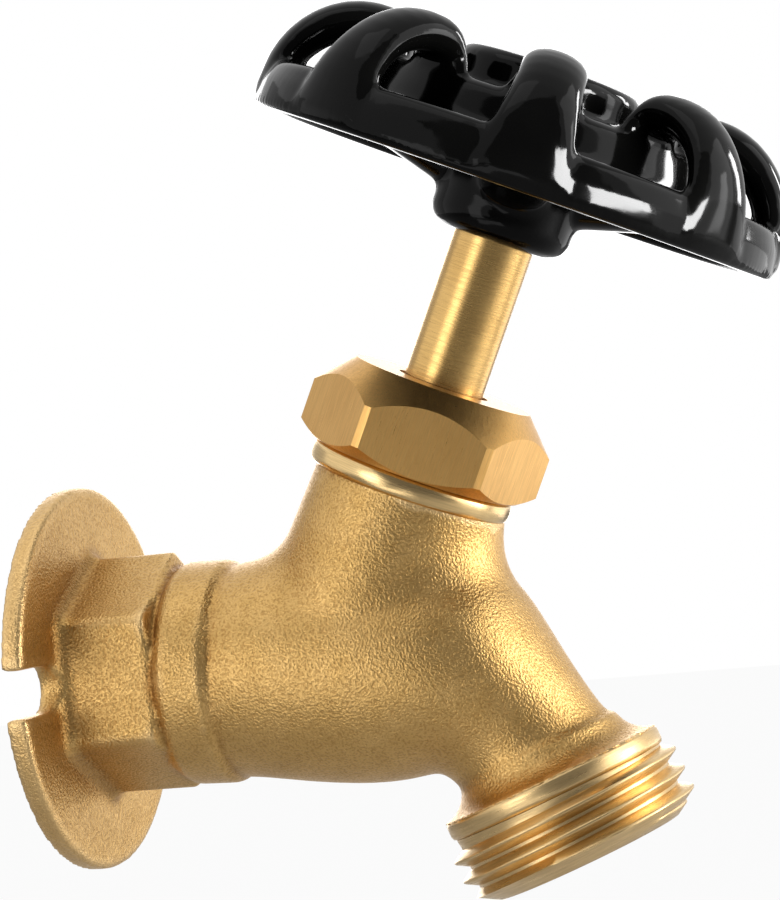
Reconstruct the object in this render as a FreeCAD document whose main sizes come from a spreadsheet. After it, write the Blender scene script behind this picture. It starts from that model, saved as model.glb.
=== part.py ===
import FreeCAD, Part
import math
import os
import Sketcher

# An angled sillcock: a cast brass body with a wall flange, a tilted stem with its packing,
# and a lobed handwheel.
# +X points out of the wall along the inlet, +Z is up, and the origin is the centre of the flange's back face.

os.makedirs("parts", exist_ok=True)
doc = FreeCAD.newDocument("sillcock")
sheet = doc.addObject("Spreadsheet::Sheet", "Sizes")


class Size:
    """A number in millimetres or degrees, with the spreadsheet formula that gives it."""

    def __init__(self, value, formula):
        self.value = value
        self.formula = formula

    def __add__(self, other):
        other = as_size(other)
        return Size(self.value + other.value, f"({self.formula} + {other.formula})")

    def __sub__(self, other):
        other = as_size(other)
        return Size(self.value - other.value, f"({self.formula} - {other.formula})")

    def __mul__(self, other):
        other = as_size(other)
        return Size(self.value * other.value, f"({self.formula} * {other.formula})")

    def __truediv__(self, other):
        other = as_size(other)
        return Size(self.value / other.value, f"({self.formula} / {other.formula})")

    def __neg__(self):
        return Size(-self.value, f"(0 - {self.formula})")


def as_size(number):
    if isinstance(number, Size):
        return number
    return Size(float(number), repr(float(number)))


def sine(angle):
    return Size(math.sin(math.radians(angle.value)), f"sin({angle.formula})")


def cosine(angle):
    return Size(math.cos(math.radians(angle.value)), f"cos({angle.formula})")


cell_count = 0


def size(name, value):
    """A driving dimension: a named cell of the sheet."""
    global cell_count
    cell_count += 1
    sheet.set(f"A{cell_count}", name)
    sheet.set(f"B{cell_count}", str(value))
    sheet.setAlias(f"B{cell_count}", name)
    return Size(float(value), f"Sizes.{name}")


ZERO = as_size(0)

# Wall flange and wrench hexagon, along the inlet axis
flange_radius = size("flange_radius", 21.6)
flange_thickness = size("flange_thickness", 2.3)
slot_width = size("slot_width", 5.1)
slot_bottom = size("slot_bottom", 12.2)
hex_across_flats = size("hex_across_flats", 23.4)
hex_corner_round = size("hex_corner_round", 1.5)
hex_end = size("hex_end", 12.6)
flange_fillet = size("flange_fillet", 1.6)
band_start = size("band_start", 14.0)
band_end = size("band_end", 18.6)
band_radius = size("band_radius", 12.45)
groove_depth = size("groove_depth", 0.7)
groove_width = size("groove_width", 1.6)
join_tuck = size("join_tuck", 1.0)

# Main run of the casting: round sections from the inlet barrel to the outlet
run_start_radius = size("run_start_radius", 11.9)
run_dip = size("run_dip", 1.8)
run_middle = size("run_middle", 28.5)
run_middle_radius = size("run_middle_radius", 12.75)
bend_start = size("bend_start", 36.5)
bend_start_radius = size("bend_start_radius", 12.95)
shoulder_x = size("shoulder_x", 46.5)
shoulder_drop = size("shoulder_drop", 3.4)
shoulder_radius = size("shoulder_radius", 11.5)
shoulder_angle = size("shoulder_angle", 27.5)
leg_x = size("leg_x", 50.0)
leg_drop = size("leg_drop", 8.7)
leg_radius = size("leg_radius", 9.25)
leg_angle = size("leg_angle", 50.0)

# Stem axis and the neck that carries the stem
stem_axis_x = size("stem_axis_x", 31.9)
stem_tilt = size("stem_tilt", 25.8)
neck_top = size("neck_top", 19.8)
neck_top_radius = size("neck_top_radius", 10.8)
neck_draft = size("neck_draft", 0.05)
neck_shift = size("neck_shift", 0.5)
neck_fillet = size("neck_fillet", 7.0)
collar_bulge = size("collar_bulge", 0.5)
collar_height = size("collar_height", 2.0)
spigot_radius = size("spigot_radius", 9.2)
spigot_height = size("spigot_height", 4.5)

# Outlet axis and the hose thread, whose crest is the plain cylinder here
outlet_axis_x = size("outlet_axis_x", 47.7)
outlet_drop_angle = size("outlet_drop_angle", 69.4)
outlet_neck_radius = size("outlet_neck_radius", 9.3)
outlet_neck_start = size("outlet_neck_start", 12.3)
outlet_flare_radius = size("outlet_flare_radius", 3.5)
outlet_ring_start = size("outlet_ring_start", 15.5)
outlet_ring_radius = size("outlet_ring_radius", 12.6)
outlet_ring_end = size("outlet_ring_end", 17.7)
thread_radius = size("thread_radius", 13.49)
thread_chamfer = size("thread_chamfer", 2.8)
thread_chamfer_length = size("thread_chamfer_length", 1.6)
outlet_end = size("outlet_end", 25.2)
outlet_bore_radius = size("outlet_bore_radius", 8.6)
outlet_throat_radius = size("outlet_throat_radius", 7.2)

# Waterways inside the casting
inlet_bore_radius = size("inlet_bore_radius", 10.3)
inlet_bore_depth = size("inlet_bore_depth", 14.5)
passage_radius = size("passage_radius", 6.0)
passage_overlap = size("passage_overlap", 1.5)
well_depth = size("well_depth", 6.3)
seat_level = size("seat_level", 3.0)
seat_bore_radius = size("seat_bore_radius", 4.2)
seat_ring_radius = size("seat_ring_radius", 5.6)
seat_ring_height = size("seat_ring_height", 1.2)
chamber_radius = size("chamber_radius", 8.0)
chamber_top = size("chamber_top", 10.5)
outlet_passage_radius = size("outlet_passage_radius", 5.4)
outlet_passage_x = size("outlet_passage_x", 41.5)
outlet_passage_rise = size("outlet_passage_rise", 6.0)
outlet_passage_angle = size("outlet_passage_angle", 56.3)
outlet_passage_length = size("outlet_passage_length", 21.0)
outlet_throat_start = size("outlet_throat_start", 12.0)

# Stem, its screw thread and the washer at its foot
running_gap = size("running_gap", 0.05)
stem_radius = size("stem_radius", 4.47)
stem_thread_radius = size("stem_thread_radius", 7.1)
stem_thread_start = size("stem_thread_start", 8.8)
stem_thread_end = size("stem_thread_end", 16.0)
stem_neck_radius = size("stem_neck_radius", 5.0)
seal_radius = size("seal_radius", 6.3)
seal_thickness = size("seal_thickness", 3.0)
cup_wall = size("cup_wall", 0.5)
cup_depth = size("cup_depth", 1.6)
cup_floor = size("cup_floor", 1.4)
washer_screw_radius = size("washer_screw_radius", 1.9)
washer_screw_head_radius = size("washer_screw_head_radius", 3.3)
washer_screw_head_height = size("washer_screw_head_height", 1.6)
washer_screw_length = size("washer_screw_length", 8.0)

# Packing box and its nut
packing_box_radius = size("packing_box_radius", 8.0)
packing_box_depth = size("packing_box_depth", 3.0)
packing_gap = size("packing_gap", 0.1)
packing_washer_thickness = size("packing_washer_thickness", 1.0)
packing_height = size("packing_height", 4.6)
nut_gap = size("nut_gap", 0.2)
nut_across_flats = size("nut_across_flats", 24.0)
nut_corner_radius = size("nut_corner_radius", 13.6)
nut_height = size("nut_height", 9.7)
nut_bottom_chamfer = size("nut_bottom_chamfer", 1.3)
nut_bottom_radius = size("nut_bottom_radius", 11.8)
nut_top_chamfer = size("nut_top_chamfer", 3.9)
nut_top_radius = size("nut_top_radius", 10.0)
nut_hole_radius = size("nut_hole_radius", 5.1)
nut_thread_depth = size("nut_thread_depth", 5.1)
nut_turn = size("nut_turn", 44.6)

# Handwheel, measured from the plane of its lower lip
wheel_level = size("wheel_level", 53.8)
wall_radius = size("wall_radius", 29.4)
wall_top_radius = size("wall_top_radius", 28.2)
wall_thickness = size("wall_thickness", 2.4)
wall_height = size("wall_height", 5.4)
lobe_count = size("lobe_count", 8)
lobe_width = size("lobe_width", 6.7)
lobe_thickness = size("lobe_thickness", 3.6)
lobe_root_radius = size("lobe_root_radius", 28.2)
lobe_root_height = size("lobe_root_height", 1.2)
lobe_lean = size("lobe_lean", 5.0)
lobe_rise = size("lobe_rise", 3.1)
shoulder_bend = size("shoulder_bend", 9.4)
shoulder_turn = size("shoulder_turn", 50.0)
crest_bend = size("crest_bend", 8.8)
crest_turn = size("crest_turn", 40.0)
curl_bend = size("curl_bend", 3.2)
curl_turn = size("curl_turn", 90.0)
lobe_foot = size("lobe_foot", 2.6)
wheel_turn_angle = size("wheel_turn_angle", -75.2)
web_radius = size("web_radius", 17.0)
web_bottom = size("web_bottom", 6.9)
web_thickness = size("web_thickness", 2.6)
gutter_start = size("gutter_start", 20.0)
gutter_end = size("gutter_end", 27.0)
gutter_bottom = size("gutter_bottom", 1.5)
gutter_thickness = size("gutter_thickness", 2.0)
boss_radius = size("boss_radius", 10.1)
boss_height = size("boss_height", 13.7)
hub_radius = size("hub_radius", 7.8)
hub_drop = size("hub_drop", 5.5)
hub_round = size("hub_round", 1.6)
spoke_count = size("spoke_count", 4)
spoke_root_distance = size("spoke_root_distance", 5.5)
spoke_root_radius = size("spoke_root_radius", 3.5)
spoke_root_level = size("spoke_root_level", 0.9)
spoke_end_distance = size("spoke_end_distance", 27.3)
spoke_end_radius = size("spoke_end_radius", 2.0)
spoke_end_level = size("spoke_end_level", 3.0)
square_size = size("square_size", 6.2)
square_gap = size("square_gap", 0.05)
square_length = size("square_length", 11.0)
square_start = size("square_start", 1.5)
handle_screw_radius = size("handle_screw_radius", 1.9)
screw_hole_gap = size("screw_hole_gap", 0.1)
handle_screw_head_radius = size("handle_screw_head_radius", 4.0)
handle_screw_head_height = size("handle_screw_head_height", 2.4)
handle_screw_edge_height = size("handle_screw_edge_height", 0.8)
handle_screw_dome_radius = size("handle_screw_dome_radius", 6.4)
handle_screw_length = size("handle_screw_length", 11.0)
handle_screw_recess = size("handle_screw_recess", 3.4)
handle_screw_slot = size("handle_screw_slot", 1.1)

doc.recompute()


def new_body(label):
    body = doc.addObject("PartDesign::Body", label)
    body.Label = label
    return body


def plane_of(body, role):
    return next(item for item in body.Origin.OriginFeatures if item.Role == role)


def new_sketch(body, name, role):
    sketch = body.newObject("Sketcher::SketchObject", name)
    sketch.AttachmentSupport = [(plane_of(body, role), "")]
    sketch.MapMode = "FlatFace"
    return sketch


def place_sketch(sketch, base, axis=FreeCAD.Vector(0, 0, 1), angle=ZERO):
    """Moves a sketch within its plane's own frame and turns it about an axis of that frame."""
    start = FreeCAD.Vector(*(part.value for part in base))
    sketch.AttachmentOffset = FreeCAD.Placement(start, FreeCAD.Rotation(axis, angle.value))
    for letter, part in zip("xyz", base):
        sketch.setExpression(f"AttachmentOffset.Base.{letter}", part.formula)
    if angle is not ZERO:
        sketch.setExpression("AttachmentOffset.Rotation.Angle", angle.formula)


def bind(sketch, constraint, amount):
    index = sketch.addConstraint(constraint)
    sketch.setExpression(f"Constraints[{index}]", amount.formula)


def pin_point(sketch, edge, end, corner):
    """Holds one end of a line or arc at its coordinates."""
    for kind, amount in (("DistanceX", corner[0]), ("DistanceY", corner[1])):
        if amount is ZERO:
            axis = -2 if kind == "DistanceX" else -1
            sketch.addConstraint(Sketcher.Constraint("PointOnObject", edge, end, axis))
        else:
            bind(sketch, Sketcher.Constraint(kind, -1, 1, edge, end, amount.value), amount)


def arc_between(start, end, radius, turn):
    """The short arc from start to end; turn is 1 anticlockwise and -1 clockwise."""
    middle = (start + end) * 0.5
    half = (end - start) * 0.5
    reach = math.sqrt(max(radius**2 - half.Length**2, 0.0))
    side = FreeCAD.Vector(-half.y, half.x, 0).normalize() * reach * turn
    centre = middle + side
    first, last = (start, end) if turn > 0 else (end, start)
    angles = [math.atan2(point.y - centre.y, point.x - centre.x) for point in (first, last)]
    circle = Part.Circle(centre, FreeCAD.Vector(0, 0, 1), radius)
    return Part.ArcOfCircle(circle, angles[0], angles[1])


def draw_outline(sketch, corners, arcs=None, closed=True):
    """An outline; arcs maps a side's number to its radius, or None for half a circle, and its turn."""
    arcs = arcs or {}
    points = [FreeCAD.Vector(x.value, y.value, 0) for x, y in corners]
    ends = []
    for number, start in enumerate(points if closed else points[:-1]):
        end = points[(number + 1) % len(points)]
        if number in arcs:
            radius, turn = arcs[number]
            bend = radius.value if radius else (end - start).Length / 2
            edge = sketch.addGeometry(arc_between(start, end, bend, turn), False)
            ends.append((edge, 1, 2) if turn > 0 else (edge, 2, 1))
        else:
            edge = sketch.addGeometry(Part.LineSegment(start, end), False)
            ends.append((edge, 1, 2))
    for number, (edge, first, last) in enumerate(ends if closed else ends[:-1]):
        after = ends[(number + 1) % len(ends)]
        sketch.addConstraint(Sketcher.Constraint("Coincident", edge, last, after[0], after[1]))
    for number, (edge, first, last) in enumerate(ends):
        pin_point(sketch, edge, first, corners[number])
        radius = arcs[number][0] if number in arcs else None
        if radius:
            bind(sketch, Sketcher.Constraint("Radius", edge, radius.value), radius)
        elif number in arcs:
            sketch.addConstraint(Sketcher.Constraint("Symmetric", edge, 1, edge, 2, edge, 3))
    if not closed:
        edge, first, last = ends[-1]
        pin_point(sketch, edge, last, corners[-1])


def draw_circle(sketch, radius):
    edge = sketch.addGeometry(Part.Circle(FreeCAD.Vector(), FreeCAD.Vector(0, 0, 1), radius.value), False)
    sketch.addConstraint(Sketcher.Constraint("Coincident", edge, 3, -1, 1))
    bind(sketch, Sketcher.Constraint("Radius", edge, radius.value), radius)


def draw_hexagon(sketch, across_flats):
    """A regular hexagon about the sketch's origin, with a corner up."""
    half = across_flats / 2
    reach = across_flats / math.sqrt(3)
    short = reach / 2
    corners = [(ZERO, reach), (-half, short), (-half, -short), (ZERO, -reach), (half, -short), (half, short)]
    draw_outline(sketch, corners)


def turned(body, kind, name, corners, axis, place=None, arcs=None, role="XZ_Plane"):
    """A full Revolution or Groove of an outline about the sketch's own H or V axis."""
    sketch = new_sketch(body, f"{name}_outline", role)
    if place:
        place_sketch(sketch, *place)
    draw_outline(sketch, corners, arcs)
    feature = body.newObject(f"PartDesign::{kind}", name)
    feature.Profile = sketch
    feature.ReferenceAxis = (sketch, [axis])
    feature.Angle = 360
    doc.recompute()
    return feature


def padded(body, name, sketch, length):
    feature = body.newObject("PartDesign::Pad", name)
    feature.Profile = sketch
    feature.Length = length.value
    feature.setExpression("Length", length.formula)
    doc.recompute()
    return feature


def pocketed(body, name, sketch, depth, reverse=False):
    feature = body.newObject("PartDesign::Pocket", name)
    feature.Profile = sketch
    feature.Length = depth.value
    feature.setExpression("Length", depth.formula)
    feature.Reversed = reverse
    doc.recompute()
    return feature


def rounded(body, name, base, wanted, radius):
    """A fillet on the edges of base that pass the test wanted."""
    names = [f"Edge{n}" for n, edge in enumerate(base.Shape.Edges, 1) if wanted(edge)]
    feature = body.newObject("PartDesign::Fillet", name)
    feature.Base = (base, names)
    feature.Radius = radius.value
    feature.setExpression("Radius", radius.formula)
    doc.recompute()
    return feature


def patterned(body, name, feature, count):
    pattern = body.newObject("PartDesign::PolarPattern", name)
    pattern.Originals = [feature]
    pattern.Axis = (plane_of(body, "Z_Axis"), [""])
    pattern.Angle = 360
    pattern.Occurrences = int(count.value)
    pattern.setExpression("Occurrences", count.formula)
    body.Tip = pattern
    doc.recompute()


def stand_on_stem(body, turn=ZERO):
    """Puts a body that is built about its own Z axis on the stem axis, turned about it."""
    tilt = f"rotation(vector(0; 1; 0); {stem_tilt.formula})"
    spin = f"rotation(vector(0; 0; 1); {turn.formula})"
    body.setExpression("Placement", f"placement(vector({stem_axis_x.formula}; 0; 0); {tilt} * {spin})")


SAME_LENGTH = 0.01
DOWN_AXIS = FreeCAD.Vector(0, 0, -1)
STEM_FRAME = ((stem_axis_x, ZERO, ZERO), DOWN_AXIS, stem_tilt)
OUTLET_FRAME = ((outlet_axis_x, ZERO, ZERO), DOWN_AXIS, outlet_drop_angle + 90)

# Levels along the stem axis, shared by the pieces that sit on each other
spigot_start = neck_top + collar_height
spigot_top = spigot_start + spigot_height
packing_floor = spigot_top - packing_box_depth
packing_bottom = packing_floor + packing_washer_thickness
packing_top = packing_bottom + packing_height
nut_bottom = spigot_start + nut_gap
nut_top = nut_bottom + nut_height
seal_bottom = seat_level + running_gap
seal_top = seal_bottom + seal_thickness
cup_top = seal_top + running_gap
hub_bottom = wheel_level - hub_drop
square_bottom = hub_bottom + square_start
square_top = square_bottom + square_length
screw_seat = wheel_level + boss_height - handle_screw_recess


def valve_body():
    body = new_body("valve_body")
    sketch = new_sketch(body, "flange_disc", "YZ_Plane")
    draw_circle(sketch, flange_radius)
    padded(body, "flange", sketch, flange_thickness)

    sketch = new_sketch(body, "wrench_hexagon", "YZ_Plane")
    draw_hexagon(sketch, hex_across_flats)
    hexagon = padded(body, "wrench_hex", sketch, hex_end)

    def hexagon_corner(edge):
        box = edge.BoundBox
        runs_along = abs(box.XLength - (hex_end - flange_thickness).value) < SAME_LENGTH
        return runs_along and max(box.YLength, box.ZLength) < SAME_LENGTH

    def hexagon_foot(edge):
        on_flange = abs(edge.CenterOfMass.x - flange_thickness.value) < SAME_LENGTH
        flat = edge.BoundBox.XLength < SAME_LENGTH
        return on_flange and flat and edge.Length < hex_across_flats.value

    corners = rounded(body, "hex_corners", hexagon, hexagon_corner, hex_corner_round)
    rounded(body, "flange_root", corners, hexagon_foot, flange_fillet)

    sketch = new_sketch(body, "flange_slots", "YZ_Plane")
    half = slot_width / 2
    beyond = flange_radius + slot_width
    for side in (1, -1):
        inner = (slot_bottom + half) * side
        draw_outline(
            sketch,
            [
                (inner, half * side),
                (inner, half * -side),
                (beyond * side, half * -side),
                (beyond * side, half * side),
            ],
            {0: (None, 1)},
        )
    pocketed(body, "screw_slots", sketch, flange_thickness + flange_fillet, reverse=True)

    groove_middle = band_end + groove_width / 2
    run_start = band_end + groove_width
    turned(
        body, "Revolution", "barrel",
        [
            (ZERO, hex_end - join_tuck),
            (band_radius - join_tuck, hex_end - join_tuck),
            (band_radius - join_tuck, hex_end),
            (band_radius, band_start),
            (band_radius, band_end),
            (band_radius - groove_depth, groove_middle),
            (run_start_radius, run_start),
            (ZERO, run_start),
        ],
        "V_Axis", ((ZERO, ZERO, ZERO), DOWN_AXIS, run_dip + 90),
    )

    sections = []
    for distance, radius in (
        (run_start - groove_width / 4, run_start_radius),
        (run_middle, run_middle_radius),
        (bend_start, bend_start_radius),
    ):
        sections.append((cosine(run_dip) * distance, -(sine(run_dip) * distance), radius, run_dip))
    sections.append((shoulder_x, -shoulder_drop, shoulder_radius, shoulder_angle))
    sections.append((leg_x, -leg_drop, leg_radius, leg_angle))
    outlet_join = outlet_neck_start + join_tuck
    outlet_x = outlet_axis_x + cosine(outlet_drop_angle) * outlet_join
    outlet_height = -(sine(outlet_drop_angle) * outlet_join)
    sections.append((outlet_x, outlet_height, outlet_neck_radius, outlet_drop_angle))
    circles = []
    for number, (along, height, radius, angle) in enumerate(sections):
        sketch = new_sketch(body, f"run_section_{number + 1}", "YZ_Plane")
        place_sketch(sketch, (ZERO, height, along), FreeCAD.Vector(1, 0, 0), angle)
        draw_circle(sketch, radius)
        circles.append(sketch)
    run = body.newObject("PartDesign::AdditiveLoft", "main_run")
    run.Profile = circles[0]
    run.Sections = circles[1:]
    run.Ruled = False
    doc.recompute()

    neck_x = stem_axis_x + cosine(stem_tilt) * neck_shift
    neck_height = -(sine(stem_tilt) * neck_shift)
    neck = turned(
        body, "Revolution", "neck",
        [
            (ZERO, ZERO),
            (neck_top_radius + neck_top * neck_draft, ZERO),
            (neck_top_radius, neck_top),
            (ZERO, neck_top),
        ],
        "V_Axis", ((neck_x, neck_height, ZERO), DOWN_AXIS, stem_tilt),
    )

    def junction(edge):
        kinds = {face.Surface.TypeId for face in neck.Shape.ancestorsOfType(edge, Part.Face)}
        if not {"Part::GeomCone", "Part::GeomBSplineSurface"} <= kinds:
            return False
        return edge.CenterOfMass.x > run_middle.value

    rounded(body, "neck_blend", neck, junction, neck_fillet)

    bead_half = collar_height / 2
    bead = (bead_half * bead_half + collar_bulge * collar_bulge) / (collar_bulge * 2)
    turned(
        body, "Revolution", "collar_and_spigot",
        [
            (ZERO, neck_top),
            (neck_top_radius, neck_top),
            (neck_top_radius, spigot_start),
            (spigot_radius, spigot_start),
            (spigot_radius, spigot_top),
            (ZERO, spigot_top),
        ],
        "V_Axis", STEM_FRAME, {1: (bead, 1)},
    )

    turned(
        body, "Revolution", "outlet",
        [
            (ZERO, outlet_neck_start),
            (outlet_neck_radius, outlet_neck_start),
            (outlet_ring_radius, outlet_ring_start),
            (outlet_ring_radius, outlet_ring_end),
            (thread_radius, outlet_ring_end),
            (thread_radius, outlet_end - thread_chamfer_length),
            (thread_radius - thread_chamfer, outlet_end),
            (ZERO, outlet_end),
        ],
        "V_Axis", OUTLET_FRAME, {1: (outlet_flare_radius, -1)},
    )

    turned(
        body, "Groove", "inlet_bore",
        [
            (ZERO, ZERO),
            (inlet_bore_depth, ZERO),
            (inlet_bore_depth, inlet_bore_radius),
            (ZERO, inlet_bore_radius),
        ],
        "H_Axis",
    )

    well_x = stem_axis_x - sine(stem_tilt) * well_depth
    well_drop = cosine(stem_tilt) * well_depth
    start_x = inlet_bore_depth - passage_overlap
    run_x = well_x - start_x
    reach = Size(math.hypot(run_x.value, well_drop.value), f"sqrt({run_x.formula}^2 + {well_drop.formula}^2)")
    slope = math.degrees(math.atan2(well_drop.value, run_x.value))
    dip = Size(slope, f"(atan({well_drop.formula} / {run_x.formula}) / 1 deg)")
    turned(
        body, "Groove", "inlet_passage",
        [(ZERO, ZERO), (passage_radius, ZERO), (passage_radius, reach), (ZERO, reach + passage_radius)],
        "V_Axis", ((start_x, ZERO, ZERO), DOWN_AXIS, dip + 90), {2: (passage_radius, 1)},
    )

    chamber_floor = seat_level - seat_ring_height
    thread_bore = stem_thread_radius + running_gap
    turned(
        body, "Groove", "stem_bores",
        [
            (ZERO, -well_depth),
            (seat_bore_radius, -well_depth),
            (seat_bore_radius, seat_level),
            (seat_ring_radius, seat_level),
            (seat_ring_radius, chamber_floor),
            (chamber_radius, chamber_floor),
            (chamber_radius, chamber_top),
            (thread_bore, chamber_top),
            (thread_bore, packing_floor),
            (packing_box_radius, packing_floor),
            (packing_box_radius, spigot_top),
            (ZERO, spigot_top),
        ],
        "V_Axis", STEM_FRAME,
    )

    turned(
        body, "Groove", "outlet_bore",
        [
            (ZERO, outlet_throat_start),
            (outlet_throat_radius, outlet_throat_start),
            (outlet_throat_radius, outlet_ring_start),
            (outlet_bore_radius, outlet_ring_start),
            (outlet_bore_radius, outlet_end),
            (ZERO, outlet_end),
        ],
        "V_Axis", OUTLET_FRAME,
    )

    turned(
        body, "Groove", "outlet_passage",
        [
            (ZERO, ZERO),
            (outlet_passage_radius, ZERO),
            (outlet_passage_radius, outlet_passage_length),
            (ZERO, outlet_passage_length),
        ],
        "V_Axis", ((outlet_passage_x, outlet_passage_rise, ZERO), DOWN_AXIS, outlet_passage_angle + 90),
    )
    return body


def stem():
    body = new_body("stem")
    cup_radius = seal_radius + running_gap + cup_wall
    screw_hole = washer_screw_radius + running_gap
    screw_depth = seal_bottom + washer_screw_length + running_gap
    turned(
        body, "Revolution", "turned_stem",
        [
            (screw_hole, cup_top),
            (seal_radius + running_gap, cup_top),
            (seal_radius + running_gap, cup_top - cup_depth),
            (cup_radius, cup_top - cup_depth),
            (cup_radius, cup_top + cup_floor),
            (stem_neck_radius, cup_top + cup_floor),
            (stem_neck_radius, stem_thread_start),
            (stem_thread_radius, stem_thread_start),
            (stem_thread_radius, stem_thread_end),
            (stem_radius, stem_thread_end),
            (stem_radius, square_bottom),
            (ZERO, square_bottom),
            (ZERO, screw_depth),
            (screw_hole, screw_depth),
        ],
        "V_Axis",
    )
    sketch = new_sketch(body, "square_outline", "XY_Plane")
    place_sketch(sketch, (ZERO, ZERO, square_bottom))
    half = square_size / 2
    draw_outline(sketch, [(half, half), (-half, half), (-half, -half), (half, -half)])
    padded(body, "drive_square", sketch, square_length)
    turned(
        body, "Groove", "handle_screw_hole",
        [
            (ZERO, screw_seat - handle_screw_length - screw_hole_gap),
            (handle_screw_radius, screw_seat - handle_screw_length - screw_hole_gap),
            (handle_screw_radius, square_top),
            (ZERO, square_top),
        ],
        "V_Axis",
    )
    stand_on_stem(body, wheel_turn_angle)
    return body


def ring(label, inner, outer, bottom, thickness):
    """A flat ring on the stem axis."""
    body = new_body(label)
    outline = [(inner, bottom), (outer, bottom), (outer, bottom + thickness), (inner, bottom + thickness)]
    turned(body, "Revolution", f"{label}_ring", outline, "V_Axis")
    stand_on_stem(body)
    return body


def washer_screw():
    body = new_body("washer_screw")
    head = seal_bottom - washer_screw_head_height
    tip = seal_bottom + washer_screw_length
    turned(
        body, "Revolution", "turned_screw",
        [
            (ZERO, head),
            (washer_screw_head_radius, head),
            (washer_screw_head_radius, seal_bottom),
            (washer_screw_radius, seal_bottom),
            (washer_screw_radius, tip),
            (ZERO, tip),
        ],
        "V_Axis",
    )
    stand_on_stem(body, wheel_turn_angle)
    return body


def packing_nut():
    body = new_body("packing_nut")
    sketch = new_sketch(body, "nut_hexagon", "XY_Plane")
    place_sketch(sketch, (ZERO, ZERO, nut_bottom))
    draw_hexagon(sketch, nut_across_flats)
    padded(body, "nut_blank", sketch, nut_height)
    beyond = nut_across_flats
    turned(
        body, "Groove", "nut_chamfers",
        [
            (nut_bottom_radius, nut_bottom),
            (beyond, nut_bottom),
            (beyond, nut_top),
            (nut_top_radius, nut_top),
            (nut_corner_radius, nut_top - nut_top_chamfer),
            (nut_corner_radius, nut_bottom + nut_bottom_chamfer),
        ],
        "V_Axis",
    )
    thread_top = nut_bottom + nut_thread_depth
    recess = packing_box_radius + running_gap
    turned(
        body, "Groove", "nut_bores",
        [
            (ZERO, nut_bottom),
            (spigot_radius + running_gap, nut_bottom),
            (spigot_radius + running_gap, thread_top),
            (recess, thread_top),
            (recess, packing_top),
            (nut_hole_radius, packing_top),
            (nut_hole_radius, nut_top),
            (ZERO, nut_top),
        ],
        "V_Axis",
    )
    stand_on_stem(body, nut_turn)
    return body


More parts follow.
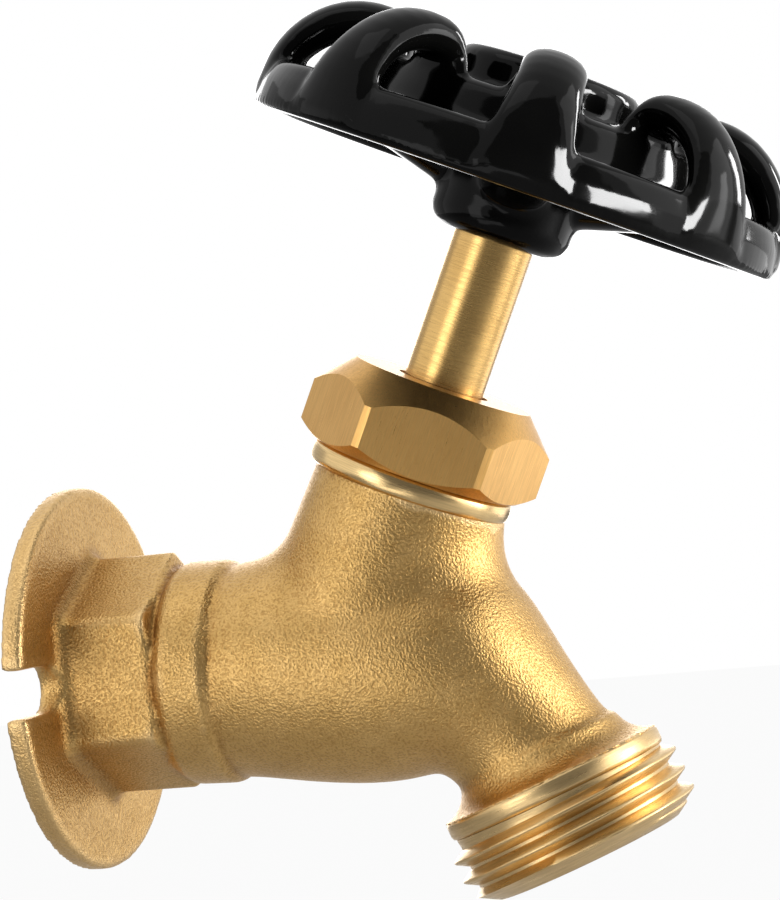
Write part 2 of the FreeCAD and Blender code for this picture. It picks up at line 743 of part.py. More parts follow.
def handwheel():
    body = new_body("handwheel")
    wall_top = wheel_level + wall_height
    crown = wall_thickness / 2
    turned(
        body, "Revolution", "rim_wall",
        [
            (wall_radius - wall_thickness, wheel_level),
            (wall_radius, wheel_level),
            (wall_top_radius, wall_top - crown),
            (wall_top_radius - wall_thickness, wall_top - crown),
        ],
        "V_Axis", None, {2: (None, 1)},
    )

    web_level = wheel_level + web_bottom
    web_top = web_level + web_thickness
    gutter_level = wheel_level + gutter_bottom
    hub_low = wheel_level - hub_drop
    turned(
        body, "Revolution", "hub_web_and_boss",
        [
            (ZERO, hub_low),
            (hub_radius - hub_round, hub_low),
            (hub_radius, hub_low + hub_round),
            (hub_radius, web_level),
            (web_radius - web_thickness, web_level),
            (gutter_start - gutter_thickness, gutter_level),
            (gutter_end, gutter_level),
            (gutter_end, gutter_level + gutter_thickness),
            (gutter_start, gutter_level + gutter_thickness),
            (web_radius, web_top),
            (boss_radius, web_top),
            (boss_radius, wheel_level + boss_height - hub_round),
            (boss_radius - hub_round, wheel_level + boss_height),
            (ZERO, wheel_level + boss_height),
        ],
        "V_Axis", None, {1: (hub_round, 1), 10: (hub_round, 1)},
    )

    heading = lobe_lean + 90
    corners = [(lobe_root_radius, wheel_level + lobe_root_height)]
    corners.append((corners[0][0] + cosine(heading) * lobe_rise, corners[0][1] + sine(heading) * lobe_rise))
    bends = {}
    for bend, turn in ((shoulder_bend, shoulder_turn), (crest_bend, crest_turn), (curl_bend, curl_turn)):
        before = heading
        heading = heading + turn
        along = (sine(heading) - sine(before)) * bend
        rise = (cosine(before) - cosine(heading)) * bend
        bends[len(corners) - 1] = (bend, 1)
        corners.append((corners[-1][0] + along, corners[-1][1] + rise))
    corners.append((corners[-1][0] + cosine(heading) * lobe_foot, corners[-1][1] + sine(heading) * lobe_foot))
    path = new_sketch(body, "lobe_path", "XZ_Plane")
    draw_outline(path, corners, bends, closed=False)
    section = new_sketch(body, "lobe_section", "XY_Plane")
    place_sketch(section, (lobe_root_radius, ZERO, wheel_level + lobe_root_height))
    half = lobe_thickness / 2
    side = (lobe_width - lobe_thickness) / 2
    corners = [(half, -side), (half, side), (-half, side), (-half, -side)]
    draw_outline(section, corners, {1: (None, 1), 3: (None, 1)})
    lobe = body.newObject("PartDesign::AdditivePipe", "lobe")
    lobe.Profile = section
    lobe.Spine = path
    lobe.Mode = "Standard"
    doc.recompute()
    patterned(body, "lobes", lobe, lobe_count)

    ends = []
    for name, distance, level, radius in (
        ("spoke_root", spoke_root_distance, spoke_root_level, spoke_root_radius),
        ("spoke_end", spoke_end_distance, spoke_end_level, spoke_end_radius),
    ):
        sketch = new_sketch(body, name, "YZ_Plane")
        place_sketch(sketch, (ZERO, wheel_level + level, distance))
        draw_circle(sketch, radius)
        ends.append(sketch)
    spoke = body.newObject("PartDesign::AdditiveLoft", "spoke")
    spoke.Profile = ends[0]
    spoke.Sections = ends[1:]
    doc.recompute()
    patterned(body, "spokes", spoke, spoke_count)

    stem_hole = stem_radius + screw_hole_gap
    screw_hole = handle_screw_radius + screw_hole_gap
    turned(
        body, "Groove", "hub_bores",
        [
            (ZERO, hub_low),
            (stem_hole, hub_low),
            (stem_hole, square_bottom),
            (screw_hole, square_bottom),
            (screw_hole, screw_seat),
            (handle_screw_head_radius + screw_hole_gap, screw_seat),
            (handle_screw_head_radius + screw_hole_gap, wheel_level + boss_height),
            (ZERO, wheel_level + boss_height),
        ],
        "V_Axis",
    )
    sketch = new_sketch(body, "square_hole_outline", "XY_Plane")
    place_sketch(sketch, (ZERO, ZERO, square_bottom))
    half = square_size / 2 + square_gap
    draw_outline(sketch, [(half, half), (-half, half), (-half, -half), (half, -half)])
    pocketed(body, "square_hole", sketch, square_length + square_gap, reverse=True)
    stand_on_stem(body, wheel_turn_angle)
    return body


def handle_screw():
    body = new_body("handle_screw")
    tip = screw_seat - handle_screw_length
    head_top = screw_seat + handle_screw_head_height
    shank = handle_screw_radius - running_gap
    turned(
        body, "Revolution", "turned_screw",
        [
            (ZERO, tip),
            (shank, tip),
            (shank, screw_seat),
            (handle_screw_head_radius, screw_seat),
            (handle_screw_head_radius, screw_seat + handle_screw_edge_height),
            (ZERO, head_top),
        ],
        "V_Axis", None, {4: (handle_screw_dome_radius, 1)},
    )
    sketch = new_sketch(body, "driver_slot_outline", "XY_Plane")
    place_sketch(sketch, (ZERO, ZERO, head_top))
    half = handle_screw_slot / 2
    reach = handle_screw_head_radius
    draw_outline(sketch, [(reach, half), (-reach, half), (-reach, -half), (reach, -half)])
    pocketed(body, "driver_slot", sketch, handle_screw_slot)
    stand_on_stem(body, wheel_turn_angle)
    return body


PIECES = [
    valve_body(),
    stem(),
    ring("seat_washer", washer_screw_radius + running_gap, seal_radius, seal_bottom, seal_thickness),
    washer_screw(),
    ring(
        "packing_washer",
        stem_radius + packing_gap,
        packing_box_radius - packing_gap,
        packing_floor,
        packing_washer_thickness,
    ),
    ring(
        "stem_packing",
        stem_radius + running_gap,
        packing_box_radius - packing_gap,
        packing_bottom,
        packing_height,
    ),
    packing_nut(),
    handwheel(),
    handle_screw(),
]

doc.recompute()
for item in doc.Objects:
    if "Invalid" in item.State or "Error" in item.State:
        raise RuntimeError(f"{item.Label}: {item.State}")
for piece in PIECES:
    shape = piece.Shape
    if shape.isNull() or not shape.isValid():
        raise RuntimeError(f"{piece.Label} has no valid shape")
    shape.exportStep(f"parts/{piece.Label}.step")
    print(piece.Label, "solids", len(shape.Solids), "volume", round(shape.Volume, 1))
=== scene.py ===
import math

import bmesh
import bpy
import numpy
from mathutils import Matrix, Vector, noise


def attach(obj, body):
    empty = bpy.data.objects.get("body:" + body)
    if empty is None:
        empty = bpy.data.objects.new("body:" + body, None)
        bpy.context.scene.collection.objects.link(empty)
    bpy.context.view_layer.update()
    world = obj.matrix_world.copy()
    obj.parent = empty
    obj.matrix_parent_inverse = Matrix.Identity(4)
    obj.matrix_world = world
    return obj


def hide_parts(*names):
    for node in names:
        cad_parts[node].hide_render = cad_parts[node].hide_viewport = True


# An angled sillcock in sand-cast and turned brass, with a glossy black handwheel.
# Sizes are in millimetres until a mesh is made. Materials, lamps and the floor are in metres.

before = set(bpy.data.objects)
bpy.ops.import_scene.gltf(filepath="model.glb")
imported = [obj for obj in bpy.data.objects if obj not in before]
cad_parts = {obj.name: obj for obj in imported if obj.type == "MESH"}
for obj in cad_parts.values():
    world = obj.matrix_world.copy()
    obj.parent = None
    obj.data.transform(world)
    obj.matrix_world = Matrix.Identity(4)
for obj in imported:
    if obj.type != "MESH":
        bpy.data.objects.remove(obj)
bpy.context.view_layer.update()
print("stage: frame loaded")

mm = 0.001
weld = 1e-6  # metres within which two points are one

axes = {  # where the stem and the outlet leave the inlet's axis, and how they lean
    "stemX": 31.9,
    "stemTilt": 25.8,
    "outletX": 47.7,
    "outletDrop": 69.4,
}


def stemFrame(turn=0.0):  # its Z runs up the stem
    place = Matrix.Translation(Vector((axes["stemX"] * mm, 0, 0)))
    tilt = Matrix.Rotation(math.radians(axes["stemTilt"]), 4, "Y")
    return place @ tilt @ Matrix.Rotation(math.radians(turn), 4, "Z")


def outletFrame():  # its Z runs out of the mouth
    place = Matrix.Translation(Vector((axes["outletX"] * mm, 0, 0)))
    return place @ Matrix.Rotation(math.radians(90 + axes["outletDrop"]), 4, "Y")


def lathe(bm, outline, steps):  # a closed outline of (radius, height), spun about Z
    verts = [bm.verts.new((radius * mm, 0, height * mm)) for radius, height in outline]
    edges = []
    for low, high in zip(verts, verts[1:] + verts[:1]):
        if max(low.co.x, high.co.x) > 1e-7:  # an edge on the axis would spin into nothing
            edges.append(bm.edges.new((low, high)))
    geom = verts + edges
    bmesh.ops.spin(bm, geom=geom, cent=(0, 0, 0), axis=(0, 0, 1), angle=math.tau, steps=steps, use_merge=True)
    bmesh.ops.remove_doubles(bm, verts=bm.verts, dist=weld)


def helix(bm, profile, pitch, low, high, steps=120):  # one turn's (radius, height), wound from low to high
    verts = [bm.verts.new((radius * mm, 0, height * mm)) for radius, height in profile]
    edges = [bm.edges.new(pair) for pair in zip(verts, verts[1:])]
    turns = math.ceil((high - low) / pitch) + 2  # with a spare turn to cut off at each end
    bmesh.ops.translate(bm, verts=verts, vec=(0, 0, (low - 1.5 * pitch) * mm))
    bmesh.ops.spin(
        bm,
        geom=verts + edges,
        cent=(0, 0, 0),
        axis=(0, 0, 1),
        dvec=(0, 0, pitch * mm / steps),
        angle=math.tau * turns,
        steps=steps * turns,
        use_merge=False,
    )
    bmesh.ops.remove_doubles(bm, verts=bm.verts, dist=2 * weld)
    for height, side in ((low, "clear_inner"), (high, "clear_outer")):
        geom = bm.verts[:] + bm.edges[:] + bm.faces[:]
        cut = {"plane_co": (0, 0, height * mm), "plane_no": (0, 0, 1), side: True}
        bmesh.ops.bisect_plane(bm, geom=geom, dist=weld, **cut)


def openLoop(bm, height):  # the open edges at that height
    def atHeight(vert):
        return abs(vert.co.z - height * mm) < 3 * weld

    return [edge for edge in bm.edges if edge.is_boundary and all(map(atHeight, edge.verts))]


def growLoop(bm, edges, radius, height):  # the loop's edges drawn out to a circle of that radius and height
    grown = bmesh.ops.extrude_edge_only(bm, edges=edges)["geom"]
    verts = {part for part in grown if isinstance(part, bmesh.types.BMVert)}
    for vert in verts:
        out = Vector((vert.co.x, vert.co.y, 0)).normalized() * radius * mm
        vert.co = (out.x, out.y, height * mm)
    drawn = [part for part in grown if isinstance(part, bmesh.types.BMEdge)]
    return [edge for edge in drawn if all(vert in verts for vert in edge.verts)]


def meshObject(name, bm, place=Matrix.Identity(4), smooth=True):
    bmesh.ops.transform(bm, matrix=place, verts=bm.verts)
    bmesh.ops.recalc_face_normals(bm, faces=bm.faces)
    mesh = bpy.data.meshes.new(name)
    bm.to_mesh(mesh)
    bm.free()
    if smooth:
        mesh.shade_smooth()
    piece = bpy.data.objects.new(name, mesh)
    bpy.context.scene.collection.objects.link(piece)
    return piece


def melt(piece, voxel, smoothing):  # joins overlapping shells into one skin with soft edges
    skin = piece.modifiers.new("skin", "REMESH")
    skin.mode = "VOXEL"
    skin.voxel_size = voxel * mm
    soften = piece.modifiers.new("soften", "SMOOTH")
    soften.factor = 0.5
    soften.iterations = smoothing
    bpy.context.view_layer.update()
    melted = piece.evaluated_get(bpy.context.evaluated_depsgraph_get())
    mesh = bpy.data.meshes.new_from_object(melted)
    piece.modifiers.clear()
    piece.data = mesh
    mesh.shade_smooth()


def sharpByAngle(piece, degrees):
    bm = bmesh.new()
    bm.from_mesh(piece.data)
    for edge in bm.edges:
        edge.smooth = not edge.is_manifold or edge.calc_face_angle(0) < math.radians(degrees)
    bm.to_mesh(piece.data)
    bm.free()


def paintBends(piece, reach, spread, passes):  # an attribute: under 0.5 in creases, over 0.5 on proud edges; the cast brass paints crease shade and edge highlights from it
    mesh = piece.data
    count = len(mesh.vertices)
    spots, normals = numpy.empty(count * 3), numpy.empty(count * 3)
    mesh.vertices.foreach_get("co", spots)
    mesh.vertex_normals.foreach_get("vector", normals)
    pairs = numpy.empty(len(mesh.edges) * 2, dtype=numpy.int32)
    mesh.edges.foreach_get("vertices", pairs)
    spots, normals, pairs = spots.reshape(-1, 3), normals.reshape(-1, 3), pairs.reshape(-1, 2)
    here = numpy.concatenate((pairs[:, 0], pairs[:, 1]))
    there = numpy.concatenate((pairs[:, 1], pairs[:, 0]))
    steps = spots[there] - spots[here]
    lengths = numpy.maximum(numpy.linalg.norm(steps, axis=1), 1e-9)
    lean = -(normals[here] * steps).sum(axis=1) / lengths**2 * mm
    neighbours = numpy.maximum(numpy.bincount(here, minlength=count), 1)
    bend = numpy.bincount(here, weights=lean, minlength=count) / neighbours
    for _ in range(passes):
        around = numpy.bincount(here, weights=bend[there], minlength=count)
        bend = (1 - spread) * bend + spread * around / neighbours
    layer = mesh.attributes.new("bend", "FLOAT", "POINT")
    layer.data.foreach_set("value", numpy.clip(0.5 + bend * reach, 0, 1))


casting = {
    "voxel": 0.40,  # size of the net that the solid's skin is melted with
    "smoothing": 3,
    "collarCut": 19.95,  # up the stem's axis, where the polished bead takes over
    "outletCut": 15.65,  # down the outlet's axis, where the turned ring takes over
    "waviness": 0.02,  # height of the slow waves: the quick ones are half as high
    "slowWave": 160,
    "quickWave": 420,
    "shoulder": (56.3, 0, 3.5),  # middle of the place between stem and outlet that is pressed in
    "shoulderReach": (11.0, 17.0, 11.0),
    "shoulderPress": 1.15,
    "bendReach": 1.2,  # how strongly creases and edges show in the attribute
    "bendSpread": 0.6,
    "bendPasses": 10,
}


def buildCasting():  # the solid's shape with a softened skin, cut off where the turned parts begin
    bm = bmesh.new()
    bm.from_mesh(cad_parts["valve_body"].data)
    bmesh.ops.remove_doubles(bm, verts=bm.verts, dist=weld)
    piece = meshObject("castBody", bm)
    melt(piece, casting["voxel"], casting["smoothing"])
    bm = bmesh.new()
    bm.from_mesh(piece.data)
    for place, distance in ((stemFrame(), casting["collarCut"]), (outletFrame(), casting["outletCut"])):
        axis = place.to_3x3() @ Vector((0, 0, 1))
        point = place @ Vector((0, 0, distance * mm))
        geom = bm.verts[:] + bm.edges[:] + bm.faces[:]
        bmesh.ops.bisect_plane(bm, geom=geom, plane_co=point, plane_no=axis, clear_outer=True)
        openEdges = [edge for edge in bm.edges if edge.is_boundary]
        rims = [edge for edge in openEdges if abs((edge.verts[0].co - point).dot(axis)) < weld]
        bmesh.ops.bridge_loops(bm, edges=rims)
    for vert in bm.verts:
        wave = noise.noise(vert.co * casting["slowWave"]) + 0.5 * noise.noise(vert.co * casting["quickWave"])
        away = vert.co / mm - Vector(casting["shoulder"])
        near = max(1 - sum((gap / reach) ** 2 for gap, reach in zip(away, casting["shoulderReach"])), 0)
        vert.co += vert.normal * (wave * casting["waviness"] - casting["shoulderPress"] * near**2) * mm
    bmesh.ops.recalc_face_normals(bm, faces=bm.faces)
    bm.to_mesh(piece.data)
    bm.free()
    piece.data.shade_smooth()
    paintBends(piece, casting["bendReach"], casting["bendSpread"], casting["bendPasses"])
    return piece


collar = {  # heights run up the stem's axis
    "start": 19.6,
    "end": 21.95,
    "radius": 11.5,
    "rootRadius": 10.5,
    "squareness": 0.35,  # the smaller, the squarer the bead's section
    "footRadius": 10.3,
    "footDepth": 0.4,
    "boreRadius": 8.05,
    "spigotRadius": 9.2,
    "spigotEnd": 26.2,
}


def buildCollar():  # the polished bead under the nut, with the spigot that stands inside the nut
    bm = bmesh.new()
    low, high, root = collar["start"], collar["end"], collar["rootRadius"]
    foot, bore, spigot = low - collar["footDepth"], collar["boreRadius"], collar["spigotRadius"]
    bead = []
    for degrees in range(-80, 81, 20):
        angle = math.radians(degrees)
        radius = root + (collar["radius"] - root) * math.cos(angle) ** collar["squareness"]
        bead.append((radius, (low + high) / 2 + (high - low) / 2 * math.sin(angle)))
    below = [(bore, foot), (collar["footRadius"], foot)]
    above = [(spigot, high), (spigot, collar["spigotEnd"]), (bore, collar["spigotEnd"])]
    lathe(bm, below + bead + above, steps=128)
    piece = meshObject("collarBead", bm, stemFrame())
    sharpByAngle(piece, degrees=40)
    return piece


outlet = {  # heights run down the outlet's axis
    "ringStart": 15.45,
    "ringEnd": 17.6,
    "ringRadius": 12.55,
    "ringRound": 0.5,
    "rootRadius": 12.05,
    "crestRadius": 13.45,
    "crestRound": 0.1,
    "pitch": 2.209,
    "runOutGap": 0.25,  # the thread rises out of its root this far past the ring
    "runOutRadius": 12.15,
    "runOutSlope": 3.0,
    "leadSlope": 1.75,
    "mouthRadius": 10.7,
    "end": 25.2,
    "boreRadius": 8.6,
    "boreChamfer": 0.25,
    "boreStart": 15.75,
}


def buildOutlet():  # the turned ring, the hose thread as one helix, and the mouth, in one skin
    bm = bmesh.new()
    pitch, root, crest = outlet["pitch"], outlet["rootRadius"], outlet["crestRadius"]
    first, low, high = outlet["ringStart"], outlet["ringEnd"], outlet["end"]
    blunt = crest - outlet["crestRound"]
    tooth = (  # each point is (radius, share of the pitch)
        (root, 0),
        (root, 0.1),
        (blunt, 0.44),
        (crest, 0.5),
        (crest, 0.56),
        (blunt, 0.62),
        (root, 0.96),
        (root, 1),
    )
    helix(bm, [(radius, share * pitch) for radius, share in tooth], pitch, low, high)
    for vert in bm.verts:
        reach = math.hypot(vert.co.x, vert.co.y) / mm
        height = vert.co.z / mm
        runOut = outlet["runOutRadius"] + max(height - low - outlet["runOutGap"], 0) * outlet["runOutSlope"]
        allowed = min(outlet["mouthRadius"] + (high - height) * outlet["leadSlope"], runOut)
        if reach > allowed:
            vert.co.x *= allowed / reach
            vert.co.y *= allowed / reach
    bore, chamfer = outlet["boreRadius"], outlet["boreChamfer"]
    inside = openLoop(bm, high)
    for radius, height in ((bore + chamfer, high), (bore, high - chamfer), (bore, outlet["boreStart"])):
        inside = growLoop(bm, inside, radius, height)
    ring, soft = outlet["ringRadius"], outlet["ringRound"]
    eased = 0.3 * soft  # how far a rounded corner's middle lies from the sharp one, each way
    rim = (
        (ring - soft, low),
        (ring - eased, low - eased),
        (ring, low - soft),
        (ring, first + soft),
        (ring - eased, first + eased),
        (ring - soft, first),
        (ring - 2 * soft, first),
    )
    outside = openLoop(bm, low)
    for radius, height in rim:
        outside = growLoop(bm, outside, radius, height)
    bmesh.ops.bridge_loops(bm, edges=inside + outside)
    piece = meshObject("outletThread", bm, outletFrame())
    sharpByAngle(piece, degrees=50)
    return piece


inlet = {  # heights run in from the wall, and the thread's crests point inwards
    "start": 0.8,
    "end": 13.6,
    "pitch": 1.814,
    "crestRadius": 9.45,
    "crestRound": 0.04,
    "rootRadius": 10.15,
    "skirtRadius": 10.29,  # the sleeve's outside, hidden in the casting
}


def buildInletThread():  # the pipe thread inside the flange
    bm = bmesh.new()
    pitch, root, crest = inlet["pitch"], inlet["rootRadius"], inlet["crestRadius"]
    low, high = inlet["start"], inlet["end"]
    blunt = crest + inlet["crestRound"]
    tooth = ((root, 0), (root, 0.08), (blunt, 0.46), (crest, 0.5), (blunt, 0.54), (root, 0.92), (root, 1))
    helix(bm, [(radius, share * pitch) for radius, share in tooth], pitch, low, high)
    for height in (low, high):
        growLoop(bm, openLoop(bm, height), inlet["skirtRadius"], height)
    bmesh.ops.bridge_loops(bm, edges=openLoop(bm, low) + openLoop(bm, high))
    piece = meshObject("inletThread", bm, Matrix.Rotation(math.radians(90), 4, "Y"))
    sharpByAngle(piece, degrees=28)
    return piece


def sectionPlace(spot, along, width, thickness, turn):  # lays the unit section across a path's heading
    out = Vector((along.y, 0, -along.x)) * thickness / 2 * mm
    side = Vector((0, 1, 0)) * width / 2 * mm
    across = Matrix((out, side, Vector((along.x, 0, along.y)) * mm)).transposed()
    place = Matrix.Translation(Vector((spot[0], 0, spot[1])) * mm)
    return Matrix.Rotation(math.radians(turn), 4, "Z") @ place @ across.to_4x4()


def sweepStrap(bm, points, widths, thicknesses, turn, fullness):  # a strap along a path of (radius, height)
    section = bmesh.ops.create_circle(bm, cap_ends=True, radius=1, segments=24)["verts"]
    for vert in section:  # a fullness under 1 squares the round section
        vert.co.x = math.copysign(abs(vert.co.x) ** fullness, vert.co.x)
        vert.co.y = math.copysign(abs(vert.co.y) ** fullness, vert.co.y)
    face = section[0].link_faces[0]
    before = Matrix.Identity(4)
    for number, point in enumerate(points):
        behind, ahead = points[max(number - 1, 0)], points[min(number + 1, len(points) - 1)]
        along = (Vector(ahead) - Vector(behind)).normalized()
        here = sectionPlace(point, along, widths[number], thicknesses[number], turn)
        if number:
            grown = bmesh.ops.extrude_face_region(bm, geom=[face])["geom"]
            section = [part for part in grown if isinstance(part, bmesh.types.BMVert)]
            face = [part for part in grown if isinstance(part, bmesh.types.BMFace)][0]
        bmesh.ops.transform(bm, matrix=here @ before.inverted(), verts=section)
        before = here


def bentPath(start, heading, runs, step=8):  # a run is (length, 0) or (bend radius, degrees turned)
    points = [start]
    for amount, turn in runs:
        radius, height = points[-1]
        first = math.radians(heading)
        if not turn:
            points.append((radius + amount * math.cos(first), height + amount * math.sin(first)))
            continue
        parts = max(int(abs(turn) / step), 2)
        for part in range(1, parts + 1):
            angle = math.radians(heading + turn * part / parts)
            outward = amount * (math.sin(angle) - math.sin(first))
            upward = amount * (math.cos(angle) - math.cos(first))
            points.append((radius + outward, height - upward))
        heading += turn
    return points


wheel = {  # outlines and paths are (radius, height over the level of the rim's lower edge)
    "level": 53.8,  # up the stem's axis
    "turn": -75.2,  # degrees, which sets the first lobe's place
    "voxel": 0.39,
    "smoothing": 8,
    "wall": (
        (26.7, 0.2),
        (27.3, -0.02),
        (29.0, -0.05),
        (29.5, 0.45),
        (29.25, 3.0),
        (28.5, 4.9),
        (27.7, 5.45),
        (26.6, 5.1),
        (26.2, 4.3),
        (26.5, 2.6),
    ),
    "middle": (
        (0, -5.55),
        (5.9, -5.55),
        (7.3, -4.9),
        (7.9, -3.6),
        (7.9, 4.6),
        (9.5, 6.4),
        (15.6, 6.2),
        (18.2, 2.4),
        (20.0, 1.5),
        (27.0, 1.5),
        (27.0, 3.4),
        (21.0, 3.6),
        (19.0, 5.6),
        (17.6, 9.0),
        (16.6, 9.6),
        (10.6, 9.6),
        (10.35, 10.5),
        (10.3, 12.9),
        (9.5, 13.8),
        (4.2, 13.8),
        (4.2, 10.4),
        (0, 10.4),
    ),
    "lobes": 8,
    "lobeStart": (28.2, 1.2),
    "lobeHeading": 95,
    "lobeRuns": ((2.74, 0), (9.7, 50), (8.6, 38), (2.5, 95), (2.6, 0)),
    "lobeFullness": 0.97,
    "lobeWidth": 7.0,
    "footWidening": 4.4,
    "footLength": 11,
    "footPower": 1.6,
    "tailWidening": 7.2,
    "wideningStart": 0.72,  # share of the lobe's path
    "lobeThickness": 3.5,
    "crestThickening": 0.8,
    "crestPace": 1.2,  # over 1 moves the thickest place towards the foot
    "tailThinning": 2.4,
    "thinningStart": 0.6,
    "spokes": 4,
    "spokePath": ((4.0, 0.9), (8.0, 1.6), (14.0, 2.6), (21.0, 3.2), (27.4, 3.3)),
    "spokeWidths": (8.4, 7.8, 7.0, 6.8, 7.4),
    "spokeThicknesses": (7.0, 6.0, 4.6, 4.0, 4.0),
    "spokeFullness": 0.85,
}


def lobeSizes(path):  # wide at the foot on the rim, thickest near the crest, wide and thin at the tail
    widths = []
    thicknesses = []
    length = 0.0
    for number, point in enumerate(path):
        length += math.dist(point, path[max(number - 1, 0)])
        share = number / (len(path) - 1)
        foot = max(1 - length / wheel["footLength"], 0) ** wheel["footPower"]
        width = wheel["lobeWidth"] + wheel["footWidening"] * foot
        widths.append(width + wheel["tailWidening"] * max(share - wheel["wideningStart"], 0))
        crest = math.sin(math.pi * min(wheel["crestPace"] * share, 1))
        thickness = wheel["lobeThickness"] + wheel["crestThickening"] * crest
        thicknesses.append(thickness - wheel["tailThinning"] * max(share - wheel["thinningStart"], 0))
    return widths, thicknesses


def buildWheel():  # wall, hub with its web, lobes and spokes melted into one skin
    bm = bmesh.new()
    level = wheel["level"]
    for outline, steps in ((wheel["wall"], 120), (wheel["middle"], 96)):
        lathe(bm, [(radius, level + height) for radius, height in outline], steps)
    radius, height = wheel["lobeStart"]
    path = bentPath((radius, level + height), wheel["lobeHeading"], wheel["lobeRuns"])
    widths, thicknesses = lobeSizes(path)
    for number in range(wheel["lobes"]):
        sweepStrap(bm, path, widths, thicknesses, 360 * number / wheel["lobes"], wheel["lobeFullness"])
    path = [(radius, level + height) for radius, height in wheel["spokePath"]]
    widths, thicknesses = wheel["spokeWidths"], wheel["spokeThicknesses"]
    for number in range(wheel["spokes"]):
        sweepStrap(bm, path, widths, thicknesses, 360 * number / wheel["spokes"], wheel["spokeFullness"])
    piece = meshObject("castWheel", bm)
    melt(piece, wheel["voxel"], wheel["smoothing"])
    piece.data.transform(stemFrame(wheel["turn"]))
    return piece


castBody = buildCasting()
collarBead = buildCollar()
outletThread = buildOutlet()
inletThread = buildInletThread()
print("stage: body pieces", len(castBody.data.vertices))
castWheel = buildWheel()
print("stage: wheel", len(castWheel.data.vertices))


def newMaterial(name):  # gives the material, its nodes and its shader
    material = bpy.data.materials.new(name)
    material.use_nodes = True
    return material, material.node_tree, material.node_tree.nodes["Principled BSDF"]


def newGroup(name, inputs, outputs):  # inputs and outputs are pairs of (name, socket kind)
    group = bpy.data.node_groups.new(name, "ShaderNodeTree")
    for label, kind in inputs:
        group.interface.new_socket(label, in_out="INPUT", socket_type=kind)
    for label, kind in outputs:
        group.interface.new_socket(label, in_out="OUTPUT", socket_type=kind)
    return group, group.nodes.new("NodeGroupInput").outputs, group.nodes.new("NodeGroupOutput")


def fill(tree, node, inputs):  # another node's socket is linked, and anything else is a plain value
    for socket, source in inputs.items():
        if isinstance(source, bpy.types.NodeSocket):
            tree.links.new(source, node.inputs[socket])
        else:
            node.inputs[socket].default_value = source


def addNode(tree, kind, inputs, **settings):
    node = tree.nodes.new(kind)
    for key, value in settings.items():
        setattr(node, key, value)
    fill(tree, node, inputs)
    return node


def ramp(tree, source, stops):  # stops are (position, color or grey value)
    node = addNode(tree, "ShaderNodeValToRGB", {"Fac": source})
    elements = node.color_ramp.elements
    while len(elements) < len(stops):
        elements.new(0.5)
    for element, (position, color) in zip(elements, stops):
        element.position = position
        element.color = (*color, 1) if isinstance(color, tuple) else (color, color, color, 1)
    return node.outputs["Color"]


def noiseValue(tree, vector, scale, detail, roughness=0.5):
    inputs = {"Vector": vector, "Scale": scale, "Detail": detail, "Roughness": roughness}
    return addNode(tree, "ShaderNodeTexNoise", inputs).outputs["Fac"]


def multiply(tree, share, first, second):
    inputs = {"Factor": share, "A": first, "B": second}
    return addNode(tree, "ShaderNodeMix", inputs, data_type="RGBA", blend_type="MULTIPLY").outputs["Result"]


def shade(color, share):
    return tuple(min(part * share, 1) for part in color)


white = (1.0, 1.0, 1.0)


def sandGrainGroup():  # the skin that moulding sand leaves: fine rounded grains over a slow mottle
    group, given, result = newGroup(
        "sandGrain",
        (
            ("Vector", "NodeSocketVector"),
            ("Grain Scale", "NodeSocketFloat"),
            ("Depth", "NodeSocketFloat"),
            ("Mottle Scale", "NodeSocketFloat"),
        ),
        (("Grain", "NodeSocketFloat"), ("Mottle", "NodeSocketFloat"), ("Normal", "NodeSocketVector")),
    )
    fine = noiseValue(group, given["Vector"], given["Grain Scale"], detail=1.6)
    slow = noiseValue(group, given["Vector"], given["Mottle Scale"], detail=3.0)
    bump = addNode(group, "ShaderNodeBump", {"Strength": 1.0, "Distance": given["Depth"], "Height": fine})
    fill(group, result, {"Grain": fine, "Mottle": slow, "Normal": bump.outputs["Normal"]})
    return group


def toolMarksGroup():  # streaks left by a cutter, drawn out by the stretch along the piece's own axis
    group, given, result = newGroup(
        "toolMarks",
        (
            ("Vector", "NodeSocketVector"),
            ("Tilt", "NodeSocketVector"),
            ("Stretch", "NodeSocketVector"),
            ("Depth", "NodeSocketFloat"),
        ),
        (("Streak", "NodeSocketFloat"), ("Stain", "NodeSocketFloat"), ("Normal", "NodeSocketVector")),
    )
    turned = addNode(group, "ShaderNodeMapping", {"Vector": given["Vector"], "Rotation": given["Tilt"]})
    inputs = {"Vector": turned.outputs["Vector"], "Scale": given["Stretch"]}
    drawn = addNode(group, "ShaderNodeMapping", inputs)
    streak = noiseValue(group, drawn.outputs["Vector"], scale=1.0, detail=4.0, roughness=0.65)
    stain = noiseValue(group, given["Vector"], scale=170.0, detail=3.0)
    bump = addNode(group, "ShaderNodeBump", {"Strength": 1.0, "Distance": given["Depth"], "Height": streak})
    fill(group, result, {"Streak": streak, "Stain": stain, "Normal": bump.outputs["Normal"]})
    return group


sandGrain = sandGrainGroup()
toolMarks = toolMarksGroup()


def useGroup(tree, group, inputs):
    node = tree.nodes.new("ShaderNodeGroup")
    node.node_tree = group
    coords = tree.nodes.new("ShaderNodeTexCoord").outputs["Object"]
    fill(tree, node, {"Vector": coords, **inputs})
    return node.outputs


castFinish = {
    "middle": (0.61, 0.375, 0.125),
    "light": (0.70, 0.445, 0.165),
    # painted highlight on proud edges
    "edge": (0.86, 0.60, 0.29),
    # painted shade in the grain's pits, standing in for the shading of their relief
    "pitShadeColor": (0.50, 0.41, 0.30),
    "pitShadeShare": 0.42,
    # painted shade in creases, fading to none on the flat skin
    "creaseShade": (0.58, 0.48, 0.38),
    "faintCreaseShade": (0.98, 0.97, 0.96),
    "roughness": (0.44, 0.32),  # between the grains, and on their tops
    "grainScale": 3700.0,
    "grainDepth": 0.00012,
    "mottleScale": 300.0,
}


